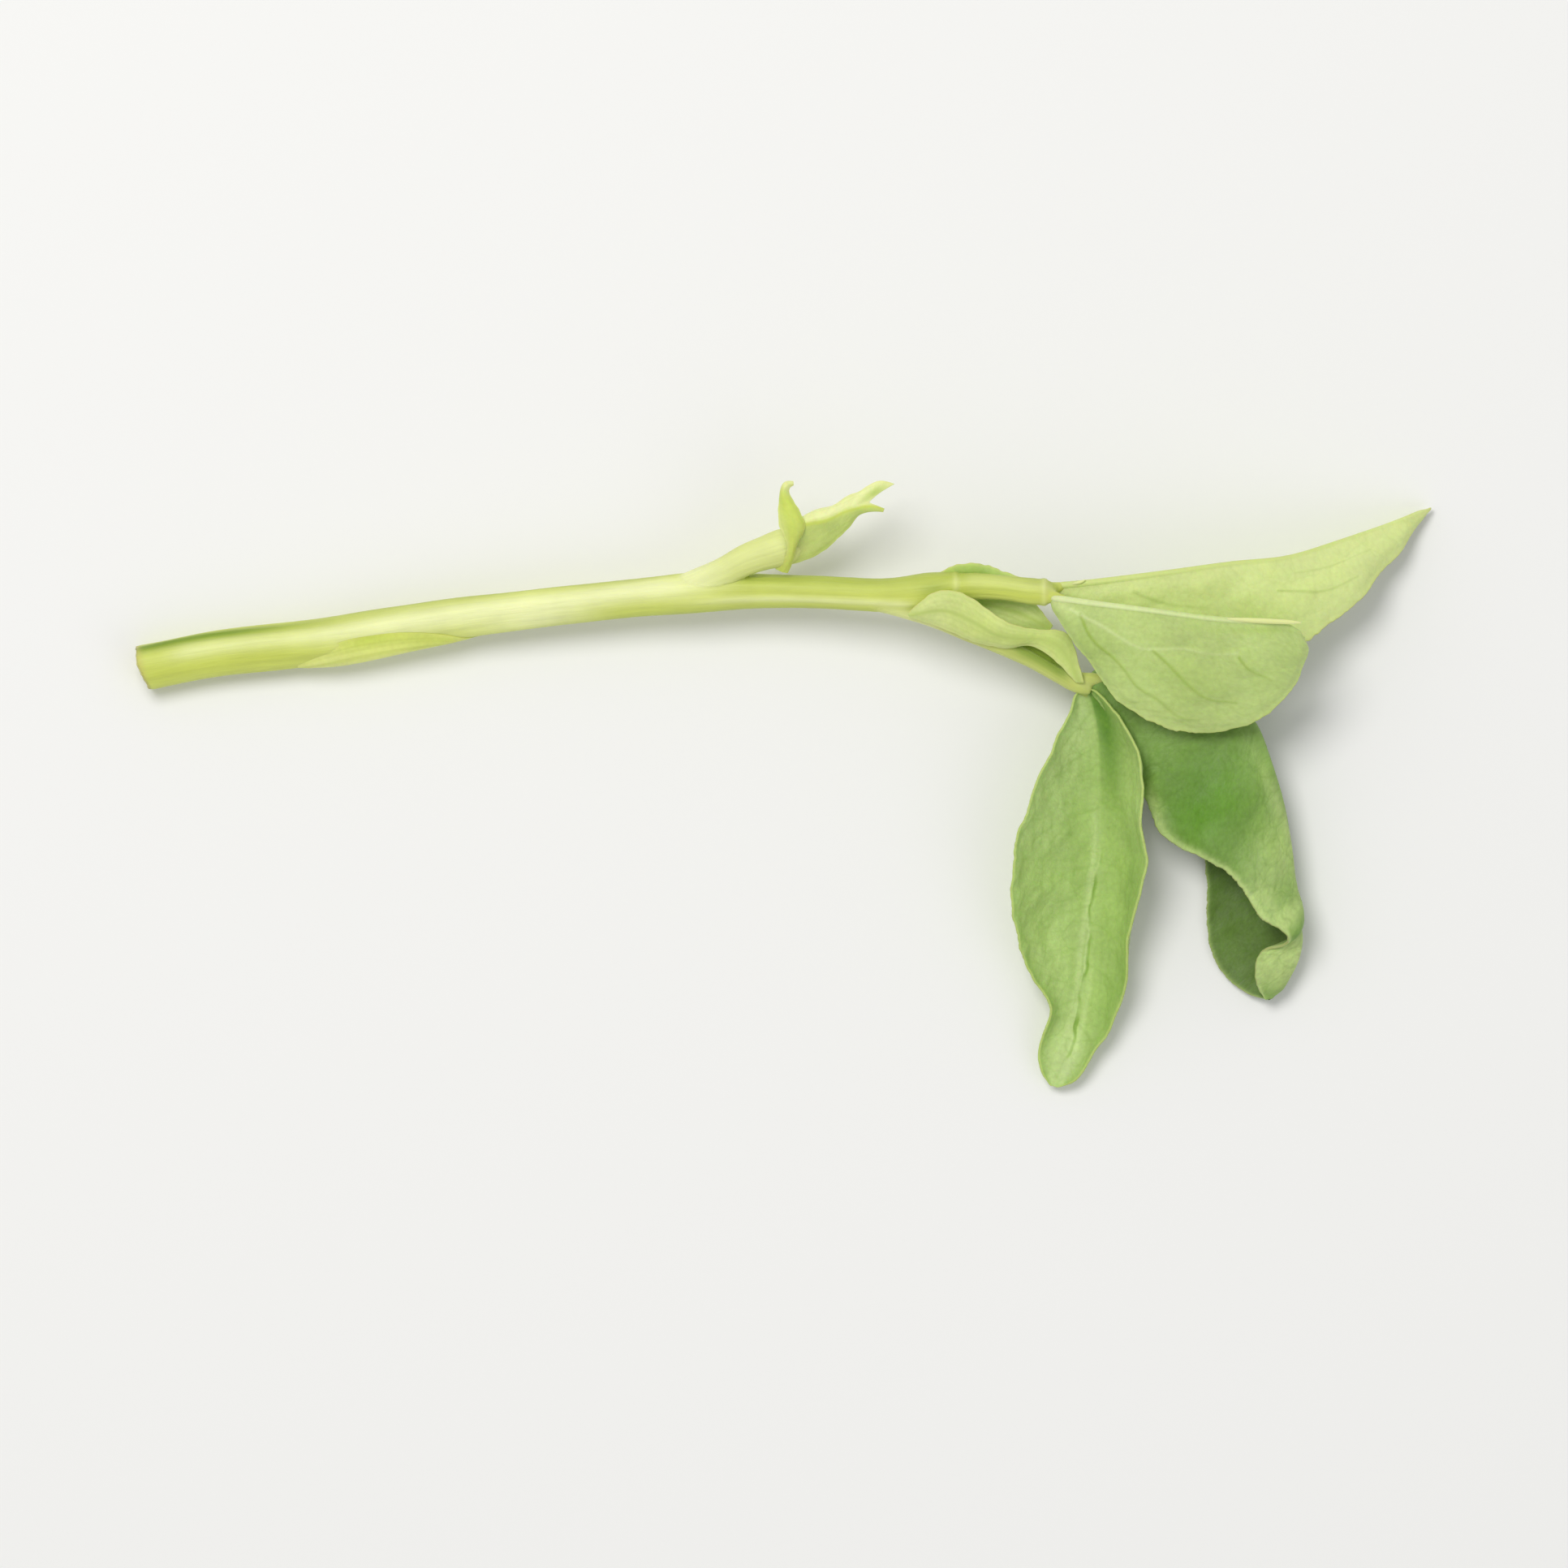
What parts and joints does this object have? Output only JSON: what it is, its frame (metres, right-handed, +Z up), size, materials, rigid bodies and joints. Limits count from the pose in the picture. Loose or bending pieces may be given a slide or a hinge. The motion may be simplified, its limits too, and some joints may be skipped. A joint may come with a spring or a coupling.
{
  "type": "fava bean shoot",
  "caption": "Cut young fava bean shoot lying flat: ribbed pale green stem with a side shoot, stipules, and folded and troughed leaflets at its tip.",
  "frame": {"origin": "on the surface the shoot lies on, under the middle of its bounding box", "axes": "+X from the cut end towards the leaf tips, +Z up from the surface, +Y to the left of the stem"},
  "size_m": [0.0932, 0.0439, 0.0112],
  "materials": {
    "stem": "satin fresh plant stem, pale yellow green",
    "sheath": "satin young sheath leaf, pale yellow green",
    "stipule": "satin stipule, light green",
    "leaf_upper_side": "soft satin leaf, upper side, mid green",
    "leaf_deep_green": "soft satin leaf, upper side, deep green",
    "leaf_under_side": "soft satin leaf, under side, pale green"
  },
  "bodies": {
    "root": {"main_stem": "stem", "side_sheath": "sheath", "hooked_scale": "sheath", "stipule_front": "stipule", "stipule_back": "stipule", "stipule_small": "stipule", "leaflet_trough": "leaf_upper_side", "leaflet_drooping": "leaf_deep_green", "leaflet_end_front": "leaf_under_side", "leaflet_end_back": "leaf_under_side"}
  },
  "joints": []
}
